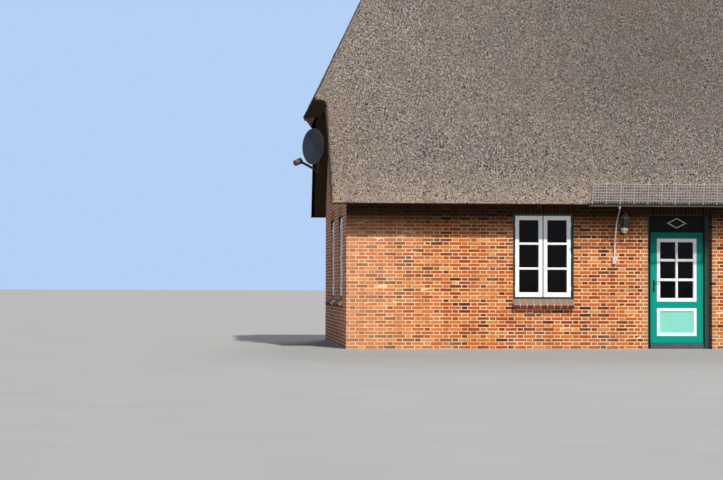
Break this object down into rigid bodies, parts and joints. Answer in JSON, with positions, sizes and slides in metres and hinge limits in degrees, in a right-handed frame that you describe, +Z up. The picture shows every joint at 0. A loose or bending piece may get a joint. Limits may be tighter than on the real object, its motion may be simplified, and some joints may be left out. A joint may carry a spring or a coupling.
{
  "type": "thatched cottage",
  "caption": "Single-storey red brick cottage with a half-hipped reed roof, white casement windows, a teal door that opens inwards, a wire guard at the eave, a wall lantern and a satellite dish.",
  "frame": {"origin": "centre of the walls' footprint, on the ground that the house rests on", "axes": "+Z up, +X along the length to the right as seen from the front, -Y out of the front door"},
  "size_m": [14.1543, 7.8729, 8.9421],
  "materials": {
    "brick": "rough",
    "concrete": "rough",
    "floor_boards": "matt",
    "reed_thatch": "rough weathered reed",
    "heather_ridge": "rough",
    "window_paint": "white gloss paint",
    "dark_green_paint": "satin paint",
    "teal_paint": "satin paint",
    "glass": "clear",
    "threshold_paint": "worn paint",
    "bronze": "dark, worn",
    "zinc": "weathered",
    "galvanised_wire": "dull",
    "grey_plastic": "matt",
    "verdigris_metal": "weathered",
    "dish_enamel": "satin",
    "dark_steel": "satin"
  },
  "bodies": {
    "house": {"front_wall_left": "brick", "front_wall_right": "brick", "front_wall_over_door": "brick", "rear_wall": "brick", "left_gable_wall": "brick", "right_gable_wall": "brick", "floor_slab": "concrete", "attic_floor": "floor_boards", "front_thatch": "reed_thatch", "rear_thatch": "reed_thatch", "left_hip_thatch": "reed_thatch", "right_hip_thatch": "reed_thatch", "ridge_cap_left": "heather_ridge", "ridge_cap_right": "heather_ridge", "chimney": "brick", "front_left_window": "window_paint", "front_left_window_glass": "glass", "front_right_window": "window_paint", "front_right_window_glass": "glass", "rear_left_window": "window_paint", "rear_left_window_glass": "glass", "rear_right_window": "window_paint", "rear_right_window_glass": "glass", "left_gable_front_window": "window_paint", "left_gable_front_window_glass": "glass", "left_gable_rear_window": "window_paint", "left_gable_rear_window_glass": "glass", "right_gable_front_window": "window_paint", "right_gable_front_window_glass": "glass", "right_gable_rear_window": "window_paint", "right_gable_rear_window_glass": "glass", "door_frame": "dark_green_paint", "door_threshold": "threshold_paint", "transom_panel": "dark_green_paint", "guard_rails": "zinc", "wire_guard": "galvanised_wire", "cable_conduit": "grey_plastic", "junction_box": "grey_plastic", "wall_lantern": "verdigris_metal", "lantern_glass": "glass", "dish_reflector": "dish_enamel", "dish_feed": "dark_steel", "dish_bracket": "dark_steel"},
    "door": {"door_leaf": "teal_paint", "door_glass": "glass", "door_handle": "bronze"}
  },
  "joints": [
    {"name": "door_hinge", "type": "hinge", "parent": "house", "child": "door", "pos_m": [0.508, -2.918, 1.15], "axis": [0, 0, -1], "range_deg": [0, 100]}
  ]
}
